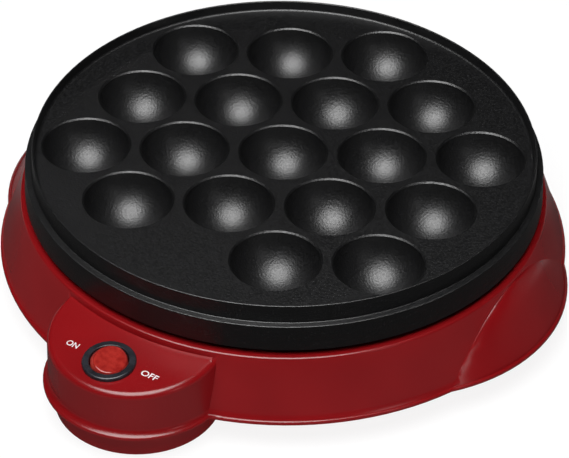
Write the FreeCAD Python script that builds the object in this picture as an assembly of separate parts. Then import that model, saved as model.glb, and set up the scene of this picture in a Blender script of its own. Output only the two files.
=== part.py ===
"""Round electric takoyaki maker: a cast plate of eighteen cups lifted on and off a moulded red base
that holds the tube heater, its heat shield, a sprung thermostat and a lit rocker switch.

Millimetres, +Z up, the front (switch) towards -Y. The stations below are measured from the plate's
upright axis; the finished pieces are moved back so that the origin is the bottom centre of the whole.
"""
import FreeCAD, Part
import math
import os

from FreeCAD import Vector

# ---- driving dimensions ----------------------------------------------------------------------------
CLEARANCE = 0.3            # between neighbouring pieces that aren't fixed face to face

# cooking plate, heights counted from the cooking face
COOK_Z = 60.4              # cooking face above the table
CUP_PITCH = 44.0           # between neighbouring cups, on a grid of equal triangles
ROW_TURN = 30.0            # direction of the rows, degrees from +X
ROWS = {-2: 3, -1: 4, 0: 5, 1: 4, 2: 3}
GRID_X = -0.5              # the grid is cast a little off the rings' axis
GRID_Y = -0.3
CUP_R = 19.65
CUP_DEPTH = 18.8
CUP_EDGE = 0.6             # broken edge round each cup's mouth
CUP_WALL = 2.6
PLATE_T = 3.0
FLOOR_MARGIN = 3.4         # from the outermost cups to the foot of the lip
FLOOR_ROUND = 1.2
LIP_H = 4.8
LIP_LEAN = 0.3             # how far each face of the lip leans outward over its height
LIP_W = 0.9
LIP_ROUND = 0.42
STEP_H = 3.75              # from the cooking face down to the outer ledge
STEP_W = 3.0
STEP_ROUND = 1.0
SKIRT_H = 15.9
SKIRT_T = 3.2
SKIRT_DRAFT = 0.5
LUG_W = 11.0
LUG_IN = 4.6               # how far a lug reaches in and out from the top of the heat shield's wall
LUG_OUT = 6.0
LUG_TONGUE = 4.0           # how far a lug's tongue reaches down inside the heat shield
LUG_ANGLES = (30.0, 150.0, 270.0)
SENSOR_BOSS_R = 9.0
SENSOR_BOSS_H = 15.4

# base housing
SHELL_T = 2.4
BODY_Z = 13.1              # bottom edge of the housing above the table
BEAD_H = 1.2
BEAD_OUT = 1.2             # how far the bead stands out of the wall above it
BEAD_ROUND = 1.0
RIM_Z = 41.6
RIM_OUT = 1.9              # the rim's radius beyond the plate's
RIM_W = 5.0                # flat rim round the plate's well
RIM_ROUND = 1.3
FLARE = 10.4               # how far the flank spreads from the rim to the bottom edge
LEDGE_Z = 37.0             # inner ledge that carries the heat shield
LEDGE_T = 2.4
PETAL_Y = 51.0             # half width of a side petal at the bottom edge
PETAL_R = 81.0             # radius of a petal's level outline there
PETAL_RISES = (0.0, 0.35, 0.7, 1.0)
LOBE_IN = 1.9              # the switch lobe's middle lies this far inside the rim's radius
LOBE_R = 38.4
LOBE_DRAFT = 1.8
LOBE_DROP = 3.0            # middle of the lobe's top face, below the rim
LOBE_TILT = 4.2            # the lobe's axis and its top face lean forward
LOBE_ROUND = 3.0
LOBE_BEAD_R = 40.9
COVE_OUT = 5.0             # hollow sweep from the lobe's top face up to the rim
COVE_ROUND = 4.0
BOSSES = 6
BOSS_R = 4.0
PILOT_R = 1.3
PILOT_DEPTH = 7.5

# cord inlet through the rear of the housing
INLET_Z = 26.5
INLET_BOSS_R = 8.4
INLET_STAND = 3.2          # the inlet's flat face, beyond the flank
INLET_T = 8.8
GLAND_BORE_R = 3.6
GLAND_NECK_R = 5.6
GLAND_FLANGE_R = 7.6
GLAND_FLANGE_T = 1.6

# bottom cover and feet
COVER_T = 2.4
FOOT_Z = 1.2               # underside of the moulded feet
FOOT_R = 36.3              # front foot, at its underside
FOOT_TOP_R = 37.4
REAR_FOOT_R = 9.5
REAR_FOOT_TOP_R = 12.0
REAR_FOOT_IN = 28.0        # rear feet, inside the bottom edge's radius
REAR_FOOT_ANGLES = (46.0, 134.0)
PAD_R = 6.0
PAD_T = 2.6
PAD_SPREAD = 22.0          # the front foot's two pads, each side of the middle
VENT_W = 3.0
VENT_L = 26.0
VENT_PITCH = 9.0
VENTS = 7
SCREW_R = 1.5
SCREW_HEAD_R = 3.0
SCREW_HEAD_H = 1.4
COVER_SCREW_L = 8.5

# heat shield
SHEET_T = 0.8
SPACER_T = 1.0
SPACER_R = 3.7
SHIELD_FLANGE_W = 8.6
SHIELD_TAPER = 3.2         # inward lean of the wall from flange to floor
SHIELD_FLOOR_Z = 21.0
SHIELD_BEND = 2.0          # height and width of the bend between the shield's floor and wall
SHIELD_SCREW_L = 8.0

# heater
HEATER_R = 66.0
HEATER_Z = 29.8
TUBE_R = 3.2
BEND_R = 14.0
LEG_X = 24.0
LEG_END_Y = -107.0
INSULATOR_R = 3.9
INSULATOR_L = 9.0
PIN_R = 1.4
TAB_W = 6.3
TAB_T = 0.8
TAB_L = 8.0
CLIP_ANGLES = (90.0, 205.0, 335.0)
CLIP_W = 9.0
CLIP_T = 1.0
CLIP_FOOT = 13.0
RIVET_R = 1.6
RIVET_HEAD_R = 2.8
RIVET_HEAD_H = 0.8

# sprung thermostat
THERMOSTAT_R = 8.0
THERMOSTAT_H = 7.0
CAP_T = 0.6
LEAF_T = 0.5
LEAF_W = 9.0
LEAF_FOOT_Y = 24.0         # from the thermostat's axis back to the leaf's screwed foot

# rocker switch
SWITCH_X = 0.5
SWITCH_AHEAD = 21.5        # from the lobe's middle forward to the switch
BEZEL_R = 11.6
BEZEL_H = 1.7
BEZEL_ROUND = 0.9
SWITCH_BODY_R = 9.9
SWITCH_BODY_H = 16.0
SWITCH_BODY_T = 4.0
SWITCH_WELL_R = 8.5
ROCKER_R = 8.15
ROCKER_TOP_X = 6.7
ROCKER_TOP_Y = 7.9
ROCKER_UP = 3.6            # crown, brow and skirt are measured from the pivot
ROCKER_BROW = 1.0
ROCKER_DOWN = 1.8
ROCKER_TILT = 12.0
PIVOT_DROP = 1.2           # pivot below the lobe's face
PIVOT_R = 1.1
PIVOT_PLAY = 0.15
PIVOT_END = 0.5
SNAP_W = 6.0
SNAP_OUT = 1.1
SNAP_H = 5.0
SWITCH_TAB_W = 4.8
SWITCH_TAB_PITCH = 6.0

# other electrical pieces
BLOCK_ANGLE = 76.0
BLOCK_IN = 19.0            # inside the bottom edge's radius
BLOCK_SIZE = (24.0, 10.0, 9.0)
BLOCK_STAND = 3.0
FUSE_R = 1.8
FUSE_L = 11.0
FUSE_X = -40.0
FUSE_Y = -58.0

# ---- derived heights and radii ---------------------------------------------------------------------
ROW_PITCH = CUP_PITCH * math.sin(math.radians(60.0))
GRID_REACH = math.hypot(CUP_PITCH, 2 * ROW_PITCH) + CUP_R
FLOOR_R = GRID_REACH + FLOOR_MARGIN
LIP_R = FLOOR_R + LIP_LEAN
LIP_FOOT_R = LIP_R + LIP_W + LIP_LEAN
STEP_R = LIP_FOOT_R + STEP_W
PLATE_R = STEP_R + SKIRT_DRAFT
RIM_R = PLATE_R + RIM_OUT
WELL_R = RIM_R - RIM_W                         # upright wall round the plate's well
BODY_R = RIM_R + FLARE                         # bottom edge, over its bead
LOBE_Y = LOBE_IN - RIM_R
LOBE_Z = RIM_Z - LOBE_DROP
SHIELD_FLANGE_R = WELL_R - 2 * CLEARANCE
SHIELD_TOP_R = SHIELD_FLANGE_R - SHIELD_FLANGE_W
SHIELD_FLOOR_R = SHIELD_TOP_R - SHIELD_TAPER
LEDGE_IN_R = SHIELD_TOP_R + 2 * CLEARANCE
BOSS_AT_R = (LEDGE_IN_R + WELL_R) / 2
PLATE_UNDER_Z = COOK_Z - PLATE_T
FLANGE_Z = LEDGE_Z + SPACER_T                  # underside of the heat shield's flange
LUG_Z = FLANGE_Z + SHEET_T
COVER_TOP_Z = BODY_Z + COVER_T
SENSOR_Z = PLATE_UNDER_Z - SENSOR_BOSS_H       # contact face under the plate
FLOOR_TOP_Z = SHIELD_FLOOR_Z + SHEET_T
ORIGIN_Y = (LOBE_Y - LOBE_BEAD_R + BODY_R) / 2  # middle of the whole, front to back


# ---- helpers ---------------------------------------------------------------------------------------
def rounded(before, corner, after, radius):
    """Tangent points and the middle of the arc that rounds one corner."""
    back = (before - corner).normalize()
    ahead = (after - corner).normalize()
    half = back.getAngle(ahead) / 2
    reach = radius / math.tan(half)
    middle = (back + ahead).normalize() * (radius / math.sin(half) - radius)
    return corner + back * reach, corner + middle, corner + ahead * reach


def outline(points):
    """A face in the XZ plane with (radius, height) corners; a third number rounds its corner."""
    spots = [Vector(p[0], 0, p[1]) for p in points]
    edges, ends = [], []
    for i, point in enumerate(points):
        start = end = spots[i]
        if len(point) == 3:
            start, middle, end = rounded(spots[i - 1], spots[i], spots[(i + 1) % len(points)], point[2])
            edges.append(Part.Arc(start, middle, end).toShape())
        ends.append((start, end))
    for i, (_, end) in enumerate(ends):
        following = ends[(i + 1) % len(ends)][0]
        if (following - end).Length > 1e-6:
            edges.append(Part.makeLine(end, following))
    return Part.Face(Part.Wire(Part.sortEdges(edges)[0]))


def turned(points):
    """A solid turned about Z from such an outline."""
    return outline(points).revolve(Vector(), Vector(0, 0, 1), 360.0)


def rod(radius, low, high, x=0.0, y=0.0):
    """An upright round bar."""
    return Part.makeCylinder(radius, high - low, Vector(x, y, low))


def block(size_x, size_y, size_z, x, y, z):
    """A box centred on x and y, standing on z."""
    return Part.makeBox(size_x, size_y, size_z, Vector(x - size_x / 2, y - size_y / 2, z))


def at(shape, x=0.0, y=0.0, z=0.0, turn=0.0):
    """A copy turned about Z, then moved."""
    moved = shape.copy()
    moved.rotate(Vector(), Vector(0, 0, 1), turn)
    moved.translate(Vector(x, y, z))
    return moved


def polar(radius, angle):
    """The x and y of a station at a radius and an angle in degrees."""
    return radius * math.cos(math.radians(angle)), radius * math.sin(math.radians(angle))


def even(count, start=0.0):
    """Angles spread evenly round the circle."""
    return [start + 360.0 * i / count for i in range(count)]


def join(shapes):
    """One solid from pieces that share faces or overlap."""
    return shapes[0].multiFuse(shapes[1:]).removeSplitter()


def rim_edges(shape, radius, z):
    """The round edges of one radius that lie at one height."""
    edges = []
    for edge in shape.Edges:
        if edge.Degenerated or not isinstance(edge.Curve, Part.Circle):
            continue
        if abs(edge.Curve.Radius - radius) < 0.01 and abs(edge.Curve.Center.z - z) < 0.01:
            edges.append(edge)
    return edges


# ---- cooking plate ---------------------------------------------------------------------------------
def cup_stations():
    """Centres of the full hexagonal grid of cups, row by row."""
    along = Vector(*polar(1.0, ROW_TURN), 0)
    across = Vector(*polar(1.0, ROW_TURN + 90.0), 0)
    stations = []
    for row, count in ROWS.items():
        for i in range(count):
            step = (i - (count - 1) / 2.0) * CUP_PITCH
            stations.append(Vector(GRID_X, GRID_Y, 0) + along * step + across * (row * ROW_PITCH))
    return stations


def sensor_station():
    """The grid's front corner, left without a cup: the thermostat touches the plate there."""
    return min(cup_stations(), key=lambda s: s.y)


def cups():
    front = sensor_station()
    return [s for s in cup_stations() if (s - front).Length > CUP_R]


def cup_ball_r():
    """Radius of the ball whose cap is as wide as a cup's mouth and as deep as the cup."""
    return (CUP_R * CUP_R + CUP_DEPTH * CUP_DEPTH) / (2 * CUP_DEPTH)


def cup_hollow():
    """The ball cast out of one cup; it rises a little above the cooking face."""
    ball = Part.makeSphere(cup_ball_r(), Vector(0, 0, cup_ball_r() - CUP_DEPTH))
    return ball.common(rod(CUP_R, -2 * CUP_DEPTH, CUP_EDGE))


def cup_outside():
    """The outside of one cup, from inside the plate's thickness down to its flat bottom."""
    radius, bottom = CUP_R + CUP_WALL, -CUP_DEPTH - CUP_WALL
    return turned([(0, -PLATE_T / 2), (radius, -PLATE_T / 2), (radius - 0.6, 0.3 * bottom),
                   (radius * 0.78, 0.68 * bottom), (radius * 0.4, bottom), (0, bottom)])


def plate_disc():
    """Floor, lip, outer ledge and skirt in one turned section."""
    inner, shelf = PLATE_R - SKIRT_T, -STEP_H - PLATE_T
    return turned([(0, 0), (FLOOR_R, 0, FLOOR_ROUND), (LIP_R, LIP_H, LIP_ROUND), (LIP_R + LIP_W, LIP_H, LIP_ROUND),
                   (LIP_FOOT_R, -STEP_H, STEP_ROUND), (STEP_R, -STEP_H, STEP_ROUND), (PLATE_R, -SKIRT_H),
                   (inner, -SKIRT_H), (inner - SKIRT_DRAFT, shelf), (FLOOR_R - STEP_ROUND, shelf),
                   (FLOOR_R - STEP_H, -PLATE_T), (0, -PLATE_T)])


def plate_lug():
    """One locating foot: it stands on the heat shield's flange, its tongue inside the shield's wall."""
    foot = LUG_Z - COOK_Z
    inner, outer = SHIELD_TOP_R - LUG_IN, SHIELD_TOP_R + LUG_OUT
    tongue_r = SHIELD_TOP_R - SHEET_T - LUG_TONGUE * shield_slope() - 2 * CLEARANCE
    step = [(inner, -PLATE_T / 2), (outer, -PLATE_T / 2), (outer, foot), (tongue_r, foot),
            (tongue_r, foot - LUG_TONGUE), (inner, foot - LUG_TONGUE)]
    corners = [Vector(r, -LUG_W / 2, z) for r, z in step]
    return Part.Face(Part.makePolygon(corners + corners[:1])).extrude(Vector(0, LUG_W, 0))


def cooking_plate():
    """Die-cast aluminium, non-stick coated; loose, lifted off by hand when cool."""
    front = sensor_station()
    under = [at(cup_outside(), s.x, s.y) for s in cups()]
    lugs = [at(plate_lug(), turn=a) for a in LUG_ANGLES]
    boss = rod(SENSOR_BOSS_R, -PLATE_T - SENSOR_BOSS_H, -PLATE_T / 2, front.x, front.y)
    solid = plate_disc().multiFuse(under + lugs + [boss])
    solid = solid.cut(Part.makeCompound([at(cup_hollow(), s.x, s.y) for s in cups()]))
    return at(solid.makeChamfer(CUP_EDGE, rim_edges(solid, CUP_R, 0.0)), z=COOK_Z)


# ---- base housing ----------------------------------------------------------------------------------
def wall_foot_z():
    """Where the flank starts above the sloped top of the bead."""
    return BODY_Z + BEAD_H + BEAD_OUT / 2


def flank_r(z):
    """Outside radius of the flared wall at a height."""
    share = (z - wall_foot_z()) / (RIM_Z - wall_foot_z())
    return (BODY_R - BEAD_OUT) * (1 - share) + RIM_R * share


def body_form():
    """The round body, full inside."""
    return turned([(0, BODY_Z), (BODY_R, BODY_Z), (BODY_R, BODY_Z + BEAD_H, BEAD_ROUND),
                   (flank_r(wall_foot_z()), wall_foot_z()), (RIM_R, RIM_Z, RIM_ROUND), (0, RIM_Z)])


def body_hollow(gap):
    """The body's inside, or what fits into it with a gap."""
    inset, top = SHELL_T + gap, RIM_Z - SHELL_T
    return turned([(0, BODY_Z), (flank_r(BODY_Z) - inset, BODY_Z), (flank_r(top) - inset, top), (0, top)])


def petal_arc(radius, half, flank):
    """A petal's level outline: where its circle is centred so that it leaves the flank at a half width."""
    return math.sqrt(flank * flank - half * half) - math.sqrt(radius * radius - half * half)


def petal_loft(drop, inset):
    """Level circles up to where the petal dies out under the rim; only their outer arcs stand out."""
    top = RIM_Z - RIM_ROUND
    rings = []
    for rise in PETAL_RISES:
        z = BODY_Z + rise * (top - BODY_Z)
        centre = petal_arc(PETAL_R - BEAD_OUT, PETAL_Y * math.sqrt(1 - rise), flank_r(z) - rise * CLEARANCE)
        spot = Vector(centre, 0, z - rise * drop)
        rings.append(Part.Wire([Part.Circle(spot, Vector(0, 0, 1), PETAL_R - BEAD_OUT - inset).toShape()]))
    return Part.makeLoft(rings, True, False)


def both_sides(shape):
    return [shape, at(shape, turn=180.0)]


def petal_forms():
    """Both petals with their beads, full inside."""
    bead = turned([(0, BODY_Z), (PETAL_R, BODY_Z), (PETAL_R, BODY_Z + BEAD_H, BEAD_ROUND),
                   (PETAL_R - BEAD_OUT, wall_foot_z()), (0, wall_foot_z())])
    bead = at(bead, x=petal_arc(PETAL_R, PETAL_Y, BODY_R))
    return both_sides(petal_loft(0.0, 0.0)) + both_sides(bead)


def petal_hollows(gap):
    return both_sides(petal_loft(2 * SHELL_T, SHELL_T + gap))


def on_lobe(shape):
    """Seat a piece made about the lobe's middle, z = 0 on its top face, onto the tilted face."""
    seated = shape.copy()
    seated.rotate(Vector(), Vector(1, 0, 0), LOBE_TILT)
    seated.translate(Vector(0, LOBE_Y, LOBE_Z))
    return seated


def lobe_lean():
    """How far the lobe's axis has moved back where it reaches the bottom edge."""
    return (LOBE_Z - BODY_Z) * math.sin(math.radians(LOBE_TILT))


def lobe_post(inset, drop, corner):
    """The lobe's tapered post about its leaning axis, cut off level at the bottom edge."""
    foot = -1.2 * (LOBE_Z - BODY_Z)
    post = turned([(0, foot), (LOBE_R + LOBE_DRAFT - inset, foot), (LOBE_R - inset, -drop) + corner, (0, -drop)])
    return on_lobe(post).common(block(3 * LOBE_R, 3 * LOBE_R, RIM_Z - BODY_Z, 0, LOBE_Y, BODY_Z))


def lobe_form():
    """The switch lobe with its bead, full inside."""
    ledge = LOBE_BEAD_R - (LOBE_R - BEAD_OUT)
    bead = turned([(0, BODY_Z), (LOBE_BEAD_R, BODY_Z), (LOBE_BEAD_R, BODY_Z + BEAD_H, BEAD_ROUND),
                   (LOBE_R - BEAD_OUT, BODY_Z + BEAD_H + ledge / 2), (0, BODY_Z + BEAD_H + ledge / 2)])
    return lobe_post(0.0, 0.0, (LOBE_ROUND,)).fuse(at(bead, y=LOBE_Y))


def lobe_hollow(gap):
    return lobe_post(SHELL_T + gap, SHELL_T, ())


def cove():
    """Hollow sweep between the lobe's top face and the rim; its ends follow the lobe's rounded edge."""
    low = LOBE_Z - SHELL_T / 2
    lift = RIM_Z - RIM_ROUND - low
    ring = turned([(RIM_R - 1, low), (RIM_R + COVE_OUT, low), (RIM_R + COVE_OUT / 4, low + 0.6 * lift, COVE_ROUND),
                   (RIM_R, low + lift), (RIM_R - 1, low + lift)])
    lobe = turned([(0, BODY_Z), (LOBE_R, BODY_Z), (LOBE_R, LOBE_Z - LOBE_ROUND), (LOBE_R - LOBE_ROUND, RIM_Z),
                   (0, RIM_Z)])
    return ring.common(at(lobe, y=LOBE_Y))


def well_ring():
    """Upright wall round the well, under the rim, and the ledge at its foot."""
    foot, back, top = LEDGE_Z - LEDGE_T, WELL_R + SHELL_T, RIM_Z - SHELL_T / 2
    return turned([(LEDGE_IN_R, foot), (back, foot), (back, top), (WELL_R, top), (WELL_R, LEDGE_Z),
                   (LEDGE_IN_R, LEDGE_Z)])


def housing_bosses():
    """Bosses under the ledge: the heat shield is screwed on from above and the cover from below."""
    return [rod(BOSS_R, COVER_TOP_Z, LEDGE_Z - LEDGE_T / 2, *polar(BOSS_AT_R, a)) for a in even(BOSSES)]


def boss_pilots():
    pilots = []
    for a in even(BOSSES):
        x, y = polar(BOSS_AT_R, a)
        pilots.append(rod(PILOT_R, COVER_TOP_Z, COVER_TOP_Z + PILOT_DEPTH, x, y))
        pilots.append(rod(PILOT_R, LEDGE_Z - PILOT_DEPTH, LEDGE_Z, x, y))
    return pilots


def inlet_face_y():
    """The flat face of the cord inlet, a little beyond the flank."""
    return flank_r(INLET_Z) + INLET_STAND


def rearward(radius, y_low, y_high):
    """A round bar along the cord inlet's axis."""
    return Part.makeCylinder(radius, y_high - y_low, Vector(0, y_low, INLET_Z), Vector(0, 1, 0))


def base_shell():
    """Injection-moulded housing with the switch lobe in front and a petal at each side."""
    outside = join([body_form(), lobe_form(), cove()] + petal_forms())
    inside = join([body_hollow(0.0), lobe_hollow(0.0)] + petal_hollows(0.0))
    shell = outside.cut(inside)
    shell = join([shell, well_ring(), rearward(INLET_BOSS_R, inlet_face_y() - INLET_T, inlet_face_y())])
    well = [rod(WELL_R, LEDGE_Z, RIM_Z + 1), rod(LEDGE_IN_R, BODY_Z, RIM_Z + 1)]
    holes = boss_pilots() + [rearward(GLAND_NECK_R + CLEARANCE, inlet_face_y() - INLET_T - 4, inlet_face_y() + 4),
                             on_switch(rod(SWITCH_BODY_R + CLEARANCE, -2 * SHELL_T, 1))]
    return join([shell.cut(Part.makeCompound(well))] + housing_bosses()).cut(Part.makeCompound(holes))


# ---- bottom cover, feet and gland ------------------------------------------------------------------
def slice_at(form, thickness):
    """The bottom slice of a form."""
    return form.common(Part.makeBox(400, 400, thickness, Vector(-200, -200, BODY_Z)))


def front_foot():
    """Tub-shaped foot: it stands out under the lobe's bottom edge and is open to the inside."""
    under = BODY_Z - CLEARANCE
    neck = LOBE_R + LOBE_DRAFT - lobe_lean() - SHELL_T - 2 * CLEARANCE
    floor = FOOT_Z + SHELL_T
    outside = turned([(0, FOOT_Z), (FOOT_R, FOOT_Z), (FOOT_TOP_R, under), (neck, under), (neck, COVER_TOP_Z),
                      (0, COVER_TOP_Z)])
    hollow = turned([(0, floor), (neck - 1.5 * SHELL_T, floor), (neck - SHELL_T, COVER_TOP_Z), (0, COVER_TOP_Z)])
    return at(outside, y=LOBE_Y), at(hollow, y=LOBE_Y)


def rear_feet():
    outline = [(0, FOOT_Z), (REAR_FOOT_R, FOOT_Z), (REAR_FOOT_TOP_R, BODY_Z), (REAR_FOOT_TOP_R, COVER_TOP_Z),
               (0, COVER_TOP_Z)]
    return [at(turned(outline), *polar(BODY_R - REAR_FOOT_IN, a)) for a in REAR_FOOT_ANGLES]


def pad_stations():
    rear = [polar(BODY_R - REAR_FOOT_IN, a) for a in REAR_FOOT_ANGLES]
    return [(-PAD_SPREAD, LOBE_Y), (PAD_SPREAD, LOBE_Y)] + rear


def vents():
    """Two combs of slots under the heat shield."""
    slots = []
    for i in range(VENTS):
        x = (i - (VENTS - 1) / 2.0) * VENT_PITCH
        slots += [block(VENT_W, VENT_L, 4 * COVER_T, x, side * VENT_L, BODY_Z - COVER_T) for side in (-1, 1)]
    return slots


def bottom_cover():
    """Moulded closing plate with the front foot under the switch lobe and two rear feet."""
    forms = [body_hollow(CLEARANCE), lobe_hollow(CLEARANCE)] + petal_hollows(CLEARANCE)
    slices = [slice_at(form, COVER_T) for form in forms]
    foot, tub = front_foot()
    cover = join(slices + [foot] + rear_feet())
    cuts = [tub] + vents()
    cuts += [rod(PAD_R + CLEARANCE, 0, PAD_T, x, y) for x, y in pad_stations()]
    for a in even(BOSSES):
        x, y = polar(BOSS_AT_R, a)
        cuts.append(rod(SCREW_R + CLEARANCE, 0, COVER_TOP_Z, x, y))
        cuts.append(rod(SCREW_HEAD_R + CLEARANCE, 0, BODY_Z + SCREW_HEAD_H, x, y))
    return cover.cut(Part.makeCompound(cuts))


def foot_pads():
    """Soft rubber pads pressed into the feet's pockets."""
    return Part.makeCompound([rod(PAD_R, 0, PAD_T, x, y) for x, y in pad_stations()])


def cord_gland():
    """Rubber grommet in the inlet hole, empty."""
    outer = inlet_face_y()
    inner = outer - INLET_T
    body = rearward(GLAND_NECK_R, inner, outer)
    flanges = [rearward(GLAND_FLANGE_R, outer, outer + GLAND_FLANGE_T),
               rearward(GLAND_FLANGE_R, inner - GLAND_FLANGE_T, inner)]
    bore = rearward(GLAND_BORE_R, inner - GLAND_FLANGE_T, outer + GLAND_FLANGE_T)
    return join([body] + flanges).cut(bore)


def screw(length, head_up):
    """Pan-head screw standing on z = 0 under its head, pointing down, or up if the head is below."""
    shank = rod(PILOT_R - 0.05, -length, 0)
    head = rod(SCREW_HEAD_R, 0, SCREW_HEAD_H)
    whole = join([shank, head])
    if not head_up:
        whole.rotate(Vector(), Vector(1, 0, 0), 180)
    return whole


def cover_screws():
    one = screw(COVER_SCREW_L - SCREW_HEAD_H, False)
    return Part.makeCompound([at(one, *polar(BOSS_AT_R, a), BODY_Z + SCREW_HEAD_H) for a in even(BOSSES)])


# ---- heat shield -----------------------------------------------------------------------------------
def shield_slope():
    """Inward lean of the heat shield's wall, per millimetre of height."""
    return (SHIELD_TOP_R - SHIELD_FLOOR_R) / (FLANGE_Z - SHIELD_FLOOR_Z - SHIELD_BEND)


def heat_shield():
    """Drawn aluminised-steel dish under the heater; the plate's lugs stand on its flange."""
    low, top = SHIELD_FLOOR_Z, FLANGE_Z
    bend = SHIELD_FLOOR_R - SHIELD_BEND
    dish = turned([(0, low), (bend, low), (SHIELD_FLOOR_R, low + SHIELD_BEND), (SHIELD_TOP_R, top),
                   (SHIELD_FLANGE_R, top), (SHIELD_FLANGE_R, top + SHEET_T), (SHIELD_TOP_R - SHEET_T, top + SHEET_T),
                   (SHIELD_FLOOR_R - SHEET_T, low + SHIELD_BEND + SHEET_T / 2), (bend - SHEET_T / 2, low + SHEET_T),
                   (0, low + SHEET_T)])
    holes = [rod(SCREW_R + CLEARANCE, top - 1, top + 2, *polar(BOSS_AT_R, a)) for a in even(BOSSES)]
    holes += [rod(RIVET_R, low - 1, FLOOR_TOP_Z + 1, *spot) for spot in rivet_stations() + [leaf_station()]]
    for x in (-LEG_X, LEG_X):
        holes.append(Part.makeCylinder(TUBE_R + 2 * CLEARANCE + 0.3, 20, Vector(x, -SHIELD_TOP_R - 4, HEATER_Z),
                                       Vector(0, 1, 0)))
    return dish.cut(Part.makeCompound(holes))


def shield_spacers():
    """Hard washers that keep the hot flange off the moulded ledge."""
    ring = rod(SPACER_R, 0, SPACER_T).cut(rod(SCREW_R + CLEARANCE, 0, SPACER_T))
    return Part.makeCompound([at(ring, *polar(BOSS_AT_R, a), LEDGE_Z) for a in even(BOSSES)])


def shield_screws():
    one = screw(SHIELD_SCREW_L, True)
    return Part.makeCompound([at(one, *polar(BOSS_AT_R, a), LUG_Z) for a in even(BOSSES)])


# ---- heater ----------------------------------------------------------------------------------------
def tube_section(radius):
    """The tube cut across at (radius, HEATER_Z), in the XZ plane."""
    outline = Part.Circle(Vector(radius, 0, HEATER_Z), Vector(0, 1, 0), TUBE_R)
    return Part.Face(Part.Wire([outline.toShape()]))


def heater_element():
    """Sheathed tube heater: three quarters of a ring, its cold legs turned forward into the lobe."""
    reach = HEATER_R + BEND_R
    bend_x = LEG_X + BEND_R
    bend_y = -math.sqrt(reach * reach - bend_x * bend_x)
    start = math.degrees(math.atan2(bend_y, bend_x))
    ring = tube_section(HEATER_R)
    ring.rotate(Vector(), Vector(0, 0, 1), start)
    ring = ring.revolve(Vector(), Vector(0, 0, 1), 180.0 - 2 * start)
    bend = tube_section(-BEND_R).revolve(Vector(), Vector(0, 0, 1), start)
    bend.translate(Vector(bend_x, bend_y, 0))
    leg = tube_section(LEG_X).extrude(Vector(0, LEG_END_Y - bend_y, 0))
    leg.translate(Vector(0, bend_y, 0))
    side = [bend, leg]
    mirrored = [s.mirror(Vector(), Vector(1, 0, 0)) for s in side]
    return join([ring] + side + mirrored)


def forward(radius, y_near, y_far, x):
    """A round bar along a heater leg's axis."""
    return Part.makeCylinder(radius, y_near - y_far, Vector(x, y_far, HEATER_Z), Vector(0, 1, 0))


def heater_insulators():
    """Ceramic end beads of the heater's legs."""
    far = LEG_END_Y - INSULATOR_L
    return Part.makeCompound([forward(INSULATOR_R, LEG_END_Y, far, x).cut(forward(PIN_R, LEG_END_Y, far, x))
                              for x in (-LEG_X, LEG_X)])


def heater_terminals():
    """Terminal pins with push-on tabs."""
    far = LEG_END_Y - INSULATOR_L
    pieces = []
    for x in (-LEG_X, LEG_X):
        pin = forward(PIN_R, LEG_END_Y, far - 2.0, x)
        tab = block(TAB_W, TAB_L, TAB_T, x, far - 1.0 - TAB_L / 2, HEATER_Z - TAB_T / 2)
        pieces.append(join([pin, tab]))
    return Part.makeCompound(pieces)


def heater_clips():
    """Steel straps that hold the tube above the heat shield's floor."""
    inner = TUBE_R + CLEARANCE
    outer = inner + CLIP_T
    centre = Vector(HEATER_R, 0, HEATER_Z)
    loop = Part.makeCylinder(outer, CLIP_W, centre + Vector(0, -CLIP_W / 2, 0), Vector(0, 1, 0))
    hole = Part.makeCylinder(inner, CLIP_W, centre + Vector(0, -CLIP_W / 2, 0), Vector(0, 1, 0))
    rivet_hole = rod(RIVET_R, FLOOR_TOP_Z, FLOOR_TOP_Z + CLIP_T, rivet_at_r(), 0)
    stem = block(CLIP_T, CLIP_W, HEATER_Z - FLOOR_TOP_Z, HEATER_R + inner + CLIP_T / 2, 0, FLOOR_TOP_Z)
    foot = block(CLIP_FOOT, CLIP_W, CLIP_T, HEATER_R + inner + CLIP_FOOT / 2, 0, FLOOR_TOP_Z)
    mouth = block(2 * outer, CLIP_W, outer, HEATER_R - inner, 0, HEATER_Z - outer)
    clip = join([loop.cut(mouth), stem, foot]).cut(Part.makeCompound([hole, rivet_hole]))
    return Part.makeCompound([at(clip, turn=a) for a in CLIP_ANGLES])


def rivet_at_r():
    """Radius of the rivets' stations, beyond the middle of the clips' feet."""
    return HEATER_R + TUBE_R + CLEARANCE + CLIP_FOOT * 0.6


def rivet_stations():
    return [polar(rivet_at_r(), a) for a in CLIP_ANGLES]


def rivet(top, x, y):
    """A rivet closed on both sides, its upper head standing on top and its lower head under the shield."""
    low = SHIELD_FLOOR_Z
    return join([rod(RIVET_R, low, top, x, y), rod(RIVET_HEAD_R, top, top + RIVET_HEAD_H, x, y),
                 rod(RIVET_HEAD_R, low - RIVET_HEAD_H, low, x, y)])


def clip_rivets():
    """Rivets through each clip's foot and the heat shield."""
    return Part.makeCompound([rivet(FLOOR_TOP_Z + CLIP_T, x, y) for x, y in rivet_stations()])


# ---- sprung thermostat -----------------------------------------------------------------------------
def thermostat_low():
    return SENSOR_Z - THERMOSTAT_H


def leaf_station():
    """Where the spring leaf is riveted to the heat shield's floor."""
    front = sensor_station()
    return front.x, front.y + LEAF_FOOT_Y


def thermostat():
    """Bimetal thermostat: round moulded body with two side terminals."""
    front = sensor_station()
    low = thermostat_low()
    body = rod(THERMOSTAT_R - CAP_T, low, SENSOR_Z - CAP_T, front.x, front.y)
    ears = block(2 * THERMOSTAT_R + 10, 5, TAB_T, front.x, front.y, low)
    return join([body, ears])


def thermostat_cap():
    """Aluminium cap that touches the plate."""
    front = sensor_station()
    cap = rod(THERMOSTAT_R, SENSOR_Z - 4.0, SENSOR_Z, front.x, front.y)
    return cap.cut(rod(THERMOSTAT_R - CAP_T, SENSOR_Z - 4.0, SENSOR_Z - CAP_T, front.x, front.y))


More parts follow.
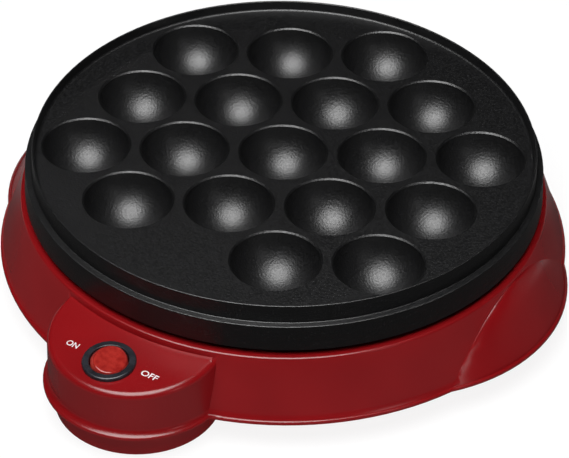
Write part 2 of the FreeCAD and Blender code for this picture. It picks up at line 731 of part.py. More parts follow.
def sensor_leaf():
    """Spring-steel leaf: riveted to the heat shield's floor, its free end pushes the thermostat up."""
    front = sensor_station()
    high = thermostat_low() - LEAF_T
    low = FLOOR_TOP_Z
    path = [(-THERMOSTAT_R, high), (4.0, high), (LEAF_FOOT_Y - 8.0, low), (LEAF_FOOT_Y + 5.0, low)]
    upper = [(y, z + LEAF_T) for y, z in reversed(path)]
    corners = [Vector(front.x - LEAF_W / 2, front.y + y, z) for y, z in path + upper]
    leaf = Part.Face(Part.makePolygon(corners + corners[:1])).extrude(Vector(LEAF_W, 0, 0))
    return leaf.cut(rod(RIVET_R, low, low + LEAF_T, *leaf_station()))


def leaf_rivet():
    return rivet(FLOOR_TOP_Z + LEAF_T, *leaf_station())


# ---- rocker switch ---------------------------------------------------------------------------------
def on_switch(shape):
    """Seat a piece made about the switch's axis, z = 0 on the lobe's face, into its place."""
    return on_lobe(at(shape, SWITCH_X, -SWITCH_AHEAD))


def pivot_bar(radius, half):
    return Part.makeCylinder(radius, 2 * half, Vector(0, -half, -PIVOT_DROP), Vector(0, 1, 0))


def switch_body():
    """Round snap-in switch: bezel over the lobe's face, can and snap tabs under it."""
    bezel = turned([(SWITCH_WELL_R, 0), (BEZEL_R, 0), (BEZEL_R, BEZEL_H, BEZEL_ROUND),
                    (SWITCH_WELL_R, BEZEL_H, BEZEL_ROUND / 2)])
    floor = SWITCH_BODY_T - SWITCH_BODY_H
    can = turned([(0, -SWITCH_BODY_H), (SWITCH_BODY_R, -SWITCH_BODY_H), (SWITCH_BODY_R, 0), (SWITCH_WELL_R, 0),
                  (SWITCH_WELL_R, floor), (0, floor)])
    snap_top = -SHELL_T - CLEARANCE
    snaps = [block(2 * SNAP_OUT, SNAP_W, SNAP_H, side * SWITCH_BODY_R, 0, snap_top - SNAP_H) for side in (-1, 1)]
    body = join([bezel, can] + snaps)
    return on_switch(body.cut(pivot_bar(PIVOT_R + PIVOT_PLAY, SWITCH_BODY_R)))


def switch_rocker():
    """Clear red rocker cap on its pivot, resting in the off position with its left side up."""
    brow = ROCKER_BROW - PIVOT_DROP
    skirt = rod(ROCKER_R, -PIVOT_DROP - ROCKER_DOWN, brow)
    foot = Part.Wire([Part.Circle(Vector(0, 0, brow), Vector(0, 0, 1), ROCKER_R).toShape()])
    top = ROCKER_UP - PIVOT_DROP
    crown = Part.Ellipse(Vector(0, ROCKER_TOP_Y, top), Vector(ROCKER_TOP_X, 0, top), Vector(0, 0, top))
    cap = Part.makeLoft([foot, Part.Wire([crown.toShape()])], True, True)
    rocker = join([skirt, cap, pivot_bar(PIVOT_R, SWITCH_BODY_R - PIVOT_END)])
    rocker.rotate(Vector(0, 0, -PIVOT_DROP), Vector(0, 1, 0), ROCKER_TILT)
    return on_switch(rocker)


def switch_terminals():
    """Three push-on tabs under the switch."""
    low = -SWITCH_BODY_H - TAB_L
    return on_switch(Part.makeCompound([block(SWITCH_TAB_W, TAB_T, TAB_L, 0, step, low)
                                        for step in (-SWITCH_TAB_PITCH, 0.0, SWITCH_TAB_PITCH)]))


# ---- wiring pieces ---------------------------------------------------------------------------------
def terminal_block():
    """Ceramic two-way block on posts beside the cord inlet."""
    length, width, height = BLOCK_SIZE
    low = COVER_TOP_Z
    body = block(width, length, height, 0, 0, low + BLOCK_STAND)
    posts = [rod(2.5, low, low + BLOCK_STAND, 0, side * length / 3) for side in (-1, 1)]
    ways = [Part.makeCylinder(1.6, width, Vector(-width / 2, side * length / 4, low + BLOCK_STAND + height / 2),
                              Vector(1, 0, 0)) for side in (-1, 1)]
    whole = join([body] + posts).cut(Part.makeCompound(ways))
    return at(whole, *polar(BODY_R - BLOCK_IN, BLOCK_ANGLE), turn=BLOCK_ANGLE)


def thermal_fuse():
    """Axial fuse can under the heat shield."""
    z = SHIELD_FLOOR_Z - FUSE_R
    return Part.makeCylinder(FUSE_R, FUSE_L, Vector(FUSE_X - FUSE_L / 2, FUSE_Y, z), Vector(1, 0, 0))


def fuse_clip():
    """Strap that holds the fuse against the heat shield."""
    z = SHIELD_FLOOR_Z - FUSE_R
    strap = Part.makeCylinder(FUSE_R + SHEET_T, 5.0, Vector(FUSE_X - 2.5, FUSE_Y, z), Vector(1, 0, 0))
    strap = strap.common(block(6, 20, FUSE_R + SHEET_T, FUSE_X, FUSE_Y, z - FUSE_R - SHEET_T))
    sides = [block(5.0, SHEET_T, FUSE_R, FUSE_X, FUSE_Y + side * (FUSE_R + SHEET_T / 2), z)
             for side in (-1, 1)]
    foot = block(5.0, 8.0, SHEET_T, FUSE_X, FUSE_Y + FUSE_R + 4.0, SHIELD_FLOOR_Z - SHEET_T)
    hole = Part.makeCylinder(FUSE_R, 5.0, Vector(FUSE_X - 2.5, FUSE_Y, z), Vector(1, 0, 0))
    return join([strap] + sides + [foot]).cut(hole)


# ---- output ----------------------------------------------------------------------------------------
NODES = {
    "cooking_plate": cooking_plate,
    "base_shell": base_shell,
    "bottom_cover": bottom_cover,
    "foot_pads": foot_pads,
    "cord_gland": cord_gland,
    "cover_screws": cover_screws,
    "heat_shield": heat_shield,
    "shield_spacers": shield_spacers,
    "shield_screws": shield_screws,
    "heater_element": heater_element,
    "heater_insulators": heater_insulators,
    "heater_terminals": heater_terminals,
    "heater_clips": heater_clips,
    "clip_rivets": clip_rivets,
    "thermostat": thermostat,
    "thermostat_cap": thermostat_cap,
    "sensor_leaf": sensor_leaf,
    "leaf_rivet": leaf_rivet,
    "switch_body": switch_body,
    "switch_rocker": switch_rocker,
    "switch_terminals": switch_terminals,
    "terminal_block": terminal_block,
    "thermal_fuse": thermal_fuse,
    "fuse_clip": fuse_clip,
}


def write_all():
    os.makedirs("parts", exist_ok=True)
    for name, make in NODES.items():
        shape = at(make(), y=-ORIGIN_Y)
        shape.exportStep(os.path.join("parts", name + ".step"))
        box = shape.BoundBox
        print("%-18s solids %2d valid %s  x %.1f %.1f  y %.1f %.1f  z %.1f %.1f" % (
            name, len(shape.Solids), shape.isValid(), box.XMin, box.XMax, box.YMin, box.YMax, box.ZMin, box.ZMax))


write_all()
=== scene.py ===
import math

import bmesh
import bpy
import numpy as np
from mathutils import Matrix, Vector


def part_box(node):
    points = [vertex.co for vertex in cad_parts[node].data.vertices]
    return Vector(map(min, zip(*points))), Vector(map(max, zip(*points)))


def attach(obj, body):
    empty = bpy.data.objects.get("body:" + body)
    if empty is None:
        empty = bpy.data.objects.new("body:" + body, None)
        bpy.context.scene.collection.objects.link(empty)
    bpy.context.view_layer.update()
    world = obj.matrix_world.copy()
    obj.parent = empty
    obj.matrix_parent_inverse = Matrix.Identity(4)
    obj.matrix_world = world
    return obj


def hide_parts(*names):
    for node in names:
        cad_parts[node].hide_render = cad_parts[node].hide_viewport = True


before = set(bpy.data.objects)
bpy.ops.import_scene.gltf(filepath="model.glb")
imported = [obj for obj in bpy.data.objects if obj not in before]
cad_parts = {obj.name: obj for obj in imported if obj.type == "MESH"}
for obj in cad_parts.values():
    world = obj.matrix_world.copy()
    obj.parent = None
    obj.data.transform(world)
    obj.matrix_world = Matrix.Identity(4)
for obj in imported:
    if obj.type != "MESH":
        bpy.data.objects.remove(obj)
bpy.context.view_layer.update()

scene = bpy.context.scene


# ---- Camera ---------------------------------------------------------------------------------------
# The viewer stands in front and a little to the right of the maker and looks down at the plate.
# The camera aims at the middle of the grid of cups, a little off the picture's own middle.
CUP_GRID = Vector((-0.0005, 0.0140, 0.0604))
VIEW_AZIMUTH = math.radians(31.84)
VIEW_ELEVATION = math.radians(38.80)
VIEW_ROLL = math.radians(0.919)
VIEW_DISTANCE = 1.30377
VIEW_SIDE = 0.00059
VIEW_UP = -0.03441
VIEW_LENS = 185.07
VIEW_SENSOR = 36.0


def direction(azimuth, elevation):
    """The way from the cooking plate to something seen from it; azimuth 0 is straight in front."""
    return Vector((math.sin(azimuth) * math.cos(elevation), -math.cos(azimuth) * math.cos(elevation),
                   math.sin(elevation)))


toward_viewer = direction(VIEW_AZIMUTH, VIEW_ELEVATION)
level_right = Vector((math.cos(VIEW_AZIMUTH), math.sin(VIEW_AZIMUTH), 0.0))
picture_right = level_right * math.cos(VIEW_ROLL) + toward_viewer.cross(level_right) * math.sin(VIEW_ROLL)
picture_up = toward_viewer.cross(picture_right)
camera = bpy.data.objects.new("camera", bpy.data.cameras.new("camera"))
camera.data.sensor_width = VIEW_SENSOR
camera.data.lens = VIEW_LENS
camera.matrix_world = Matrix.Translation(
    CUP_GRID + toward_viewer * VIEW_DISTANCE + picture_right * VIEW_SIDE + picture_up * VIEW_UP
) @ Matrix((picture_right, picture_up, toward_viewer)).transposed().to_4x4()
scene.collection.objects.link(camera)
scene.camera = camera


# ---- Studio table ---------------------------------------------------------------------------------
# A white paper sweep under the maker that keeps the maker's soft shadow. The viewer sees it white and
# matt surfaces take its bounce; polished ones see a painted reflection in it, dark in front, paler behind.
TABLE_HALF = 4.0
PAPER_ROUGHNESS = 0.9
PAPER_SHINE = 0.1
PAPER_TONE = 0.8
PAINTED_REFLECTION_IN_FRONT = 0.04
PAINTED_REFLECTION_BEHIND = 0.32
AWAY_FROM_VIEWER = (-0.53, 0.85, 0.0)
FRONT_ENDS = 0.045
BEHIND_STARTS = 0.12
GLOW = 1.05
GLOW_SHARE = 0.84
GLOW_SHARE_IN_GLOSS = 0.01
GLOW_SHARE_IN_BOUNCE = 1.0


def add_node(tree, kind, feeds=None, **settings):
    """A shader node with its settings made and its inputs set to numbers, colours or other sockets."""
    node = tree.nodes.new("ShaderNode" + kind)
    for setting, value in settings.items():
        setattr(node, setting, value)
    for slot, value in (feeds or {}).items():
        if isinstance(value, bpy.types.NodeSocket):
            tree.links.new(value, node.inputs[slot])
        else:
            node.inputs[slot].default_value = value
    return node


def between(tree, value, low, high, to_low=0.0, to_high=1.0, easing="LINEAR"):
    """The value's share of the way from low to high, put onto another range and clamped there."""
    span = {"Value": value, "From Min": low, "From Max": high, "To Min": to_low, "To Max": to_high}
    return add_node(tree, "MapRange", span, interpolation_type=easing).outputs["Result"]


def combine(tree, operation, *values):
    """Arithmetic on numbers or sockets, by the name of Blender's operation."""
    return add_node(tree, "Math", dict(enumerate(values)), operation=operation).outputs[0]


table_shape = bmesh.new()
bmesh.ops.create_grid(table_shape, x_segments=2, y_segments=2, size=TABLE_HALF)
table_mesh = bpy.data.meshes.new("table")
table_shape.to_mesh(table_mesh)
table_shape.free()
table = bpy.data.objects.new("table", table_mesh)
scene.collection.objects.link(table)

paper = bpy.data.materials.new("paper")
paper.use_nodes = True
tree = paper.node_tree
sheet = tree.nodes["Principled BSDF"]
sheet.inputs["Roughness"].default_value = PAPER_ROUGHNESS
sheet.inputs["Specular IOR Level"].default_value = PAPER_SHINE
rays = add_node(tree, "LightPath").outputs
seen = combine(tree, "MAXIMUM", rays["Is Camera Ray"], rays["Is Transmission Ray"])
spot = add_node(tree, "TexCoord").outputs["Object"]
away = add_node(tree, "VectorMath", {0: spot, 1: AWAY_FROM_VIEWER}, operation="DOT_PRODUCT").outputs["Value"]
# Painted reflection: the paper's tone as polished surfaces see it, graded from dark in front to paler behind.
painted_reflection = between(tree, away, FRONT_ENDS, BEHIND_STARTS, PAINTED_REFLECTION_IN_FRONT, PAINTED_REFLECTION_BEHIND,
                   "SMOOTHSTEP")
tree.links.new(between(tree, seen, 0.0, 1.0, painted_reflection, PAPER_TONE), sheet.inputs["Base Color"])
unseen_share = combine(tree, "MULTIPLY_ADD", rays["Is Diffuse Ray"], GLOW_SHARE_IN_BOUNCE,
                       combine(tree, "MULTIPLY", rays["Is Glossy Ray"], GLOW_SHARE_IN_GLOSS))
blend = add_node(tree, "MixShader", {"Fac": combine(tree, "MULTIPLY_ADD", seen, GLOW_SHARE, unseen_share)})
tree.links.new(sheet.outputs["BSDF"], blend.inputs[1])
tree.links.new(add_node(tree, "Emission", {"Strength": GLOW}).outputs["Emission"], blend.inputs[2])
tree.links.new(blend.outputs["Shader"], tree.nodes["Material Output"].inputs["Surface"])
table_mesh.materials.append(paper)


# ---- Studio light ---------------------------------------------------------------------------------
# One broad soft box hangs over the maker, a little on the viewer's side. A small card lights the edge of
# the petal, and a pin of light behind shows in polished plastic. The room is white to the viewer and dim
# to everything else, with a pale backdrop low behind the maker.
LAMP_DISTANCE = 1.25
SOFT_BOX = {"azimuth": 8.0, "elevation": 72.0, "size": 1.2, "power": 24.0}
SIDE_CARD = {"azimuth": 70.0, "elevation": 19.0, "size": 0.22, "power": 0.28}
PIN_LAMP = {"azimuth": -137.4, "elevation": 15.7, "size": 0.02, "power": 0.12}
ROOM_LEVEL = 0.009
BACKDROP_LEVEL = 0.08
BACKDROP_SIDES = (0.1, 0.7)
BACKDROP_TOP = (0.30, 0.10)
WHITE = (1.0, 1.0, 1.0, 1.0)


def hang_lamp(name, azimuth, elevation, size, power):
    """A round lamp that faces the cooking plate, hung in a direction given in degrees."""
    away = direction(math.radians(azimuth), math.radians(elevation))
    lamp = bpy.data.objects.new(name, bpy.data.lights.new(name, "AREA"))
    lamp.data.shape = "DISK"
    lamp.data.size = size
    lamp.data.energy = power
    facing = away.to_track_quat("Z", "Y").to_matrix().to_4x4()
    lamp.matrix_world = Matrix.Translation(CUP_GRID + away * LAMP_DISTANCE) @ facing
    scene.collection.objects.link(lamp)


hang_lamp("soft_box", **SOFT_BOX)
hang_lamp("side_card", **SIDE_CARD)
hang_lamp("pin_lamp", **PIN_LAMP)

room = bpy.data.worlds.new("room")
scene.world = room
room.use_nodes = True
tree = room.node_tree
backdrop = tree.nodes["Background"]
backdrop.inputs["Color"].default_value = WHITE
backdrop.inputs["Strength"].default_value = 1.0
look = add_node(tree, "SeparateXYZ", {0: add_node(tree, "TexCoord").outputs["Generated"]}).outputs
behind = between(tree, look["Y"], *BACKDROP_SIDES, 0.0, BACKDROP_LEVEL, "SMOOTHSTEP")
low_down = between(tree, look["Z"], *BACKDROP_TOP, easing="SMOOTHSTEP")
level = combine(tree, "MULTIPLY_ADD", behind, low_down, ROOM_LEVEL)
dim_room = add_node(tree, "Background", {"Color": WHITE, "Strength": level})
rays = add_node(tree, "LightPath").outputs
seen = combine(tree, "MAXIMUM", rays["Is Camera Ray"], rays["Is Transmission Ray"])
blend = add_node(tree, "MixShader", {"Fac": seen})
tree.links.new(dim_room.outputs["Background"], blend.inputs[1])
tree.links.new(backdrop.outputs["Background"], blend.inputs[2])
tree.links.new(blend.outputs["Shader"], tree.nodes["World Output"].inputs["Surface"])

scene.view_settings.view_transform = "Standard"


# ---- Housing --------------------------------------------------------------------------------------
# The moulded shell that carries everything: a flared round body with a petal at each side and the
# switch lobe in front. It is injection-moulded ABS, dyed red, and comes off the tool with a soft gloss.
RED_ABS = (0.205, 0.0030, 0.0048, 1.0)
RED_ABS_THIN = (0.235, 0.0042, 0.0062, 1.0)
RED_ABS_ROUGHNESS = 0.24
RED_ABS_IOR = 1.58
ABS_GRAIN_PER_METRE = 2600.0
ABS_SINK_PER_METRE = 38.0
ABS_RELIEF = 0.00003
GRAIN_SHARE = 0.25
SINK_CLOUDS = (0.3, 0.7)
HAIRS_PER_METRE = 70.0
HAIR_FINENESS = 0.012
HAIR_STRETCH = (1.0, 16.0, 1.0)
HAIR_TURNS = (0.5, -0.9)
RUBBED_PER_METRE = 21.0
RUBBED_CLOUDS = (0.5, 0.68)
HAIR_DULLS = 0.035
MOTES_PER_METRE = 2600.0
MOTE_CLOUDS = (0.60, 0.72)
LEVEL_ENOUGH = (0.55, 0.98)
DUST_PALE = (0.45, 0.40, 0.38, 1.0)
DUST_DULLS = 0.4
HOUSING_DUST = 0.03
MERGE_UNDER = 0.000002
CRISP_OVER = math.radians(24.0)
RING_STEP = 0.00001
RING_LEVELS = 1000000.0
RING_ASIDE = 0.9
RING_TILT_GAP = math.radians(30.0)
RING_CORNERS = 150
RING_INNER_R = 0.02
PLATE_AXIS = Matrix.Translation((0.0, 0.0143, 0.0))
LOBE_MIDDLE = Vector((0.0, -0.10175, 0.0386))
LOBE_TILT = math.radians(4.2)
LOBE_R = 0.0384
COVE_FROM_R = 0.1184
COVE_TO_R = 0.1230
COVE_FILM = 0.0001
COVE_HIGH = 0.0016
PETAL_FOOT_Z = 0.0131
PETAL_TOP_Z = 0.0403
PETAL_HALF = 0.051
PETAL_SHOULDER = 0.0029
SHOULDER_RISE = PETAL_SHOULDER / ABS_RELIEF
SHOULDER_WIDTH = 0.0065
SHOULDER_FADE = (0.008, 0.034)
BEAD_SWEEP = (0.0141, 0.0176)
SWEEP_CRISP_OVER = math.radians(78.0)
BEAD_CREASE = (0.0147, 0.0174)
CREASE_LEAN = math.radians(34.0)
CREASE_SLOPES = (0.05, 0.98)


def start_group(name, inputs, outputs):
    """An empty group of nodes with number inputs and outputs; gives its tree, its entry and its exit."""
    tree = bpy.data.node_groups.new(name, "ShaderNodeTree")
    for label, usual in inputs.items():
        tree.interface.new_socket(label, in_out="INPUT", socket_type="NodeSocketFloat").default_value = usual
    for label in outputs:
        tree.interface.new_socket(label, in_out="OUTPUT", socket_type="NodeSocketFloat")
    return tree, tree.nodes.new("NodeGroupInput").outputs, tree.nodes.new("NodeGroupOutput").inputs


def noise_field(tree, scale, detail=2.0, stretch=(1.0, 1.0, 1.0), turn=0.0):
    """Cloudy noise over the piece's own coordinates, in cycles per metre, drawn out where asked."""
    where = add_node(tree, "TexCoord").outputs["Object"]
    placed = add_node(tree, "Mapping", {"Vector": where, "Rotation": (0.0, 0.0, turn), "Scale": stretch})
    cloud = add_node(tree, "TexNoise", {"Vector": placed.outputs[0], "Scale": scale, "Detail": detail})
    return cloud.outputs["Fac"]


usual = {"Grain": ABS_GRAIN_PER_METRE, "Sink": ABS_SINK_PER_METRE}
moulded_skin, entry, leave = start_group("moulded_skin", usual, ("Relief", "Tone"))
grain = noise_field(moulded_skin, entry["Grain"])
sink = noise_field(moulded_skin, entry["Sink"], 1.0)
uneven = combine(moulded_skin, "ADD", combine(moulded_skin, "MULTIPLY", grain, GRAIN_SHARE), sink)
moulded_skin.links.new(uneven, leave["Relief"])
moulded_skin.links.new(between(moulded_skin, sink, *SINK_CLOUDS), leave["Tone"])

usual = {"Scale": HAIRS_PER_METRE, "Fineness": HAIR_FINENESS}
handling_marks, entry, leave = start_group("handling_marks", usual, ("Marks",))
hairs = []
for turn in HAIR_TURNS:
    hair = noise_field(handling_marks, entry["Scale"], 3.0, HAIR_STRETCH, turn)
    off_middle = combine(handling_marks, "ABSOLUTE", combine(handling_marks, "SUBTRACT", hair, 0.5))
    hairs.append(between(handling_marks, off_middle, entry["Fineness"], 0.0))
patches = between(handling_marks, noise_field(handling_marks, RUBBED_PER_METRE, 1.0), *RUBBED_CLOUDS)
rubbed = combine(handling_marks, "MULTIPLY", combine(handling_marks, "MAXIMUM", *hairs), patches)
handling_marks.links.new(rubbed, leave["Marks"])

settled_dust, entry, leave = start_group("settled_dust", {"Amount": HOUSING_DUST}, ("Dust",))
facing = add_node(settled_dust, "SeparateXYZ", {0: add_node(settled_dust, "NewGeometry").outputs["Normal"]})
lying = between(settled_dust, facing.outputs["Z"], *LEVEL_ENOUGH)
motes = between(settled_dust, noise_field(settled_dust, MOTES_PER_METRE), *MOTE_CLOUDS)
fallen = combine(settled_dust, "MULTIPLY", combine(settled_dust, "MULTIPLY", lying, motes), entry["Amount"])
settled_dust.links.new(fallen, leave["Dust"])

petal_shoulder, entry, leave = start_group("petal_shoulder", {"Rise": SHOULDER_RISE}, ("Relief",))
where = add_node(petal_shoulder, "TexCoord").outputs["Object"]
across = add_node(petal_shoulder, "SeparateXYZ", {0: where}).outputs
low_share = between(petal_shoulder, across["Z"], PETAL_FOOT_Z, PETAL_TOP_Z, 1.0, 0.0)
half_width = combine(petal_shoulder, "MULTIPLY", combine(petal_shoulder, "SQRT", low_share), PETAL_HALF)
from_middle = combine(petal_shoulder, "ABSOLUTE",
                      combine(petal_shoulder, "SUBTRACT", across["Y"], PLATE_AXIS.translation.y))
inside = combine(petal_shoulder, "MAXIMUM", combine(petal_shoulder, "SUBTRACT", half_width, from_middle), 0.0)
fall_off = combine(petal_shoulder, "EXPONENT", combine(petal_shoulder, "DIVIDE", inside, -SHOULDER_WIDTH))
fade = between(petal_shoulder, across["Z"], *SHOULDER_FADE, easing="SMOOTHSTEP")
shoulder = combine(petal_shoulder, "MULTIPLY", combine(petal_shoulder, "SUBTRACT", 1.0, fall_off), fade)
petal_shoulder.links.new(combine(petal_shoulder, "MULTIPLY", shoulder, entry["Rise"]), leave["Relief"])


def new_finish(name, roughness, ior=1.5, metallic=0.0):
    """A material whose whole-surface values are set on its shader; gives it, its tree and the shader."""
    material = bpy.data.materials.new(name)
    material.use_nodes = True
    shader = material.node_tree.nodes["Principled BSDF"]
    shader.distribution = "GGX"
    shader.inputs["Roughness"].default_value = roughness
    shader.inputs["IOR"].default_value = ior
    shader.inputs["Metallic"].default_value = metallic
    return material, material.node_tree, shader


def place_group(tree, group, **feeds):
    return add_node(tree, "Group", feeds, node_tree=group).outputs


def blend_colours(tree, share, first, second):
    """The first colour where the share is 0, the second where it is 1."""
    return add_node(tree, "Mix", {0: share, 6: first, 7: second}, data_type="RGBA").outputs[2]


def colour_by(tree, shader, share, first, second):
    tree.links.new(blend_colours(tree, share, first, second), shader.inputs["Base Color"])


def relief(tree, shader, height, depth):
    """Uneven height that shows in the surface's shading, with its depth in metres."""
    bump = add_node(tree, "Bump", {"Height": height, "Distance": depth})
    tree.links.new(bump.outputs["Normal"], shader.inputs["Normal"])


def red_plastic(name, dust, petals=False):
    """Dyed ABS: faint mould grain and sink, hairline marks that dull the gloss, a little settled dust."""
    material, tree, shader = new_finish(name, RED_ABS_ROUGHNESS, RED_ABS_IOR)
    skin = place_group(tree, moulded_skin, Grain=ABS_GRAIN_PER_METRE, Sink=ABS_SINK_PER_METRE)
    marks = place_group(tree, handling_marks, Scale=HAIRS_PER_METRE, Fineness=HAIR_FINENESS)["Marks"]
    fallen = place_group(tree, settled_dust, Amount=dust)["Dust"]
    colour_by(tree, shader, fallen, blend_colours(tree, skin["Tone"], RED_ABS, RED_ABS_THIN), DUST_PALE)
    dulled = combine(tree, "MULTIPLY_ADD", marks, HAIR_DULLS, RED_ABS_ROUGHNESS)
    tree.links.new(combine(tree, "MULTIPLY_ADD", fallen, DUST_DULLS, dulled), shader.inputs["Roughness"])
    height = skin["Relief"]
    if petals:
        height = combine(tree, "ADD", height, place_group(tree, petal_shoulder, Rise=SHOULDER_RISE)["Relief"])
    relief(tree, shader, height, ABS_RELIEF)
    return material


def crisp_edges(shape, has_bead=False):
    """Shades the faces smooth and the sharper edges crisp; a bead's hollow stays smooth at steeper bends."""
    for face in shape.faces:
        face.smooth = True
    for edge in shape.edges:
        heights = [vertex.co.z for vertex in edge.verts]
        in_sweep = BEAD_SWEEP[0] < min(heights) and max(heights) < BEAD_SWEEP[1] - MERGE_UNDER
        crisp_over = SWEEP_CRISP_OVER if has_bead and in_sweep else CRISP_OVER
        edge.smooth = edge.calc_face_angle(math.pi) < crisp_over


def take_place(piece, body, node):
    """The piece moves with a body and stands where a CAD node stood."""
    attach(piece, body)
    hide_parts(node)


def merged_copy(node, name, body, has_bead=False):
    """A CAD node's loose triangles joined into one smooth skin, its sharper edges left crisp.
    The hollow over the housing's bead is cut once more at its top and shades as one curve."""
    shape = bmesh.new()
    shape.from_mesh(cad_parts[node].data)
    bmesh.ops.remove_doubles(shape, verts=shape.verts, dist=MERGE_UNDER)
    bmesh.ops.dissolve_degenerate(shape, edges=shape.edges, dist=MERGE_UNDER)
    if has_bead:
        bmesh.ops.bisect_plane(shape, geom=shape.verts[:] + shape.edges[:] + shape.faces[:], dist=MERGE_UNDER,
                               plane_co=(0.0, 0.0, BEAD_SWEEP[1]), plane_no=(0.0, 0.0, 1.0))
    crisp_edges(shape, has_bead)
    mesh = bpy.data.meshes.new(name)
    shape.to_mesh(mesh)
    shape.free()
    if "custom_normal" in mesh.attributes:
        mesh.attributes.remove(mesh.attributes["custom_normal"])
    piece = bpy.data.objects.new(name, mesh)
    scene.collection.objects.link(piece)
    piece.modifiers.new("even_shading", "WEIGHTED_NORMAL").keep_sharp = True
    take_place(piece, body, node)
    return piece


def corner_leans(piece):
    """Where each face corner lies and which way it leans in the shaded piece, as two tables of numbers."""
    bpy.context.view_layer.update()
    shaded = piece.evaluated_get(bpy.context.evaluated_depsgraph_get()).data
    normals = np.empty(len(shaded.corner_normals) * 3)
    shaded.corner_normals.foreach_get("vector", normals)
    spots = np.empty(len(piece.data.vertices) * 3)
    piece.data.vertices.foreach_get("co", spots)
    corner_vertices = np.empty(len(piece.data.loops), int)
    piece.data.loops.foreach_get("vertex_index", corner_vertices)
    return spots.reshape(-1, 3)[corner_vertices], normals.reshape(-1, 3)


def even_ring(spots, normals, axis, inner_r):
    """Gives all corners on one ring about an axis the ring's middle lean, outward from the axis."""
    turn = np.array(axis.to_3x3())
    local, leans = (spots - np.array(axis.translation)) @ turn, normals @ turn
    radius = np.maximum(np.hypot(local[:, 0], local[:, 1]), MERGE_UNDER)
    out = local[:, :2] / radius[:, None]
    aside = leans[:, 1] * out[:, 0] - leans[:, 0] * out[:, 1]
    tilt = np.arctan2(leans[:, 2], (leans[:, :2] * out).sum(1))
    chosen = np.flatnonzero((np.abs(aside) < RING_ASIDE) & (radius > inner_r))
    rings = np.round(radius[chosen] / RING_STEP) * RING_LEVELS + np.round(local[chosen, 2] / RING_STEP)
    order = np.lexsort((tilt[chosen], rings))
    chosen, rings = chosen[order], rings[order]
    starts = np.ones(len(chosen), bool)
    starts[1:] = (rings[1:] != rings[:-1]) | (np.diff(tilt[chosen]) > RING_TILT_GAP)
    ring = np.cumsum(starts) - 1
    count = np.bincount(ring)
    middle = tilt[chosen][np.flatnonzero(starts) + count // 2][ring]
    full = count[ring] >= RING_CORNERS
    chosen, middle = chosen[full], middle[full]
    normals[chosen] = np.column_stack((out[chosen] * np.cos(middle)[:, None], np.sin(middle))) @ turn.T


def even_crease(spots, normals):
    """Gives the hollow over the bead one lean all the way round."""
    sloped = (normals[:, 2] > CREASE_SLOPES[0]) & (normals[:, 2] < CREASE_SLOPES[1])
    chosen = np.flatnonzero(sloped & (spots[:, 2] > BEAD_CREASE[0]) & (spots[:, 2] < BEAD_CREASE[1]))
    level = normals[chosen, :2] / np.linalg.norm(normals[chosen, :2], axis=1)[:, None]
    rise = np.full(len(chosen), math.sin(CREASE_LEAN))
    normals[chosen] = np.column_stack((level * math.cos(CREASE_LEAN), rise))


def even_rings(piece, axes, inner_r=RING_INNER_R, has_bead=False):
    """Shades a piece evenly along its rings about each axis, so rounds show no facets."""
    spots, normals = corner_leans(piece)
    for axis in axes:
        even_ring(spots, normals, axis, inner_r)
    if has_bead:
        even_crease(spots, normals)
    piece.modifiers.clear()
    piece.data.normals_split_custom_set(normals.tolist())


def dress(piece, material):
    piece.data.materials.clear()
    piece.data.materials.append(material)


housing = merged_copy("base_shell", "housing", "base", has_bead=True)
lobe_face = Matrix.Translation(LOBE_MIDDLE) @ Matrix.Rotation(LOBE_TILT, 4, "X")
lobe_upright = Matrix.Translation(LOBE_MIDDLE)
# Where the hollow below the rim runs out over the lobe, its thin step is pressed onto the lobe's face.
for vertex in housing.data.vertices:
    flat = (PLATE_AXIS.inverted() @ vertex.co).to_2d()
    on_face = lobe_face.inverted() @ vertex.co
    in_cove = COVE_FROM_R < flat.length < COVE_TO_R and on_face.to_2d().length < LOBE_R
    if in_cove and COVE_FILM < on_face.z < COVE_HIGH:
        vertex.co = lobe_face @ Vector((on_face.x, on_face.y, COVE_FILM))
even_rings(housing, (PLATE_AXIS, lobe_face, lobe_upright), has_bead=True)
dress(housing, red_plastic("housing_abs", HOUSING_DUST, petals=True))


# ---- Switch lettering -----------------------------------------------------------------------------
# ON and OFF, pad-printed in white ink on the lobe's sloping face, one at each side of the switch.
# The ink film is thin and a little uneven.
CAP_HEIGHT = 0.00305
INK_FILM = 0.00005
WORDS = {"ON": (-0.0190, -0.0204, 0.0058), "OFF": (0.0195, -0.0191, 0.0080)}
STROKE_GROWTH = 0.009
RAW_FILM = 0.01
INK_WHITE = (0.80, 0.78, 0.78, 1.0)
INK_THIN = (0.62, 0.50, 0.50, 1.0)
INK_ROUGHNESS = 0.5
INK_CLOUDS_PER_METRE = 1500.0
INK_CLOUDS = (0.5, 0.72)

ink, tree, shader = new_finish("white_ink", INK_ROUGHNESS)
thinned = between(tree, noise_field(tree, INK_CLOUDS_PER_METRE, 3.0), *INK_CLOUDS)
colour_by(tree, shader, thinned, INK_WHITE, INK_THIN)
for word, (middle_x, middle_y, width) in WORDS.items():
    outline = bpy.data.curves.new("outline_" + word, "FONT")
    outline.body = word
    outline.align_x = "CENTER"
    outline.offset = STROKE_GROWTH
    outline.extrude = RAW_FILM
    lettered = bpy.data.objects.new("outline_" + word, outline)
    scene.collection.objects.link(lettered)
    bpy.context.view_layer.update()
    mesh = bpy.data.meshes.new_from_object(lettered.evaluated_get(bpy.context.evaluated_depsgraph_get()))
    bpy.data.objects.remove(lettered)
    corners = [[vertex.co[axis] for vertex in mesh.vertices] for axis in range(3)]
    low, high = Vector([min(side) for side in corners]), Vector([max(side) for side in corners])
    raw = high - low
    shrink = Matrix.Diagonal((width / raw.x, CAP_HEIGHT / raw.y, INK_FILM / raw.z, 1))
    mesh.transform(lobe_face @ Matrix.Translation((middle_x, middle_y, INK_FILM / 2)) @ shrink
                   @ Matrix.Translation((low + high) / -2))
    mesh.name = "lettering_" + word
    printed = bpy.data.objects.new("lettering_" + word, mesh)
    scene.collection.objects.link(printed)
    dress(printed, ink)
    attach(printed, "base")


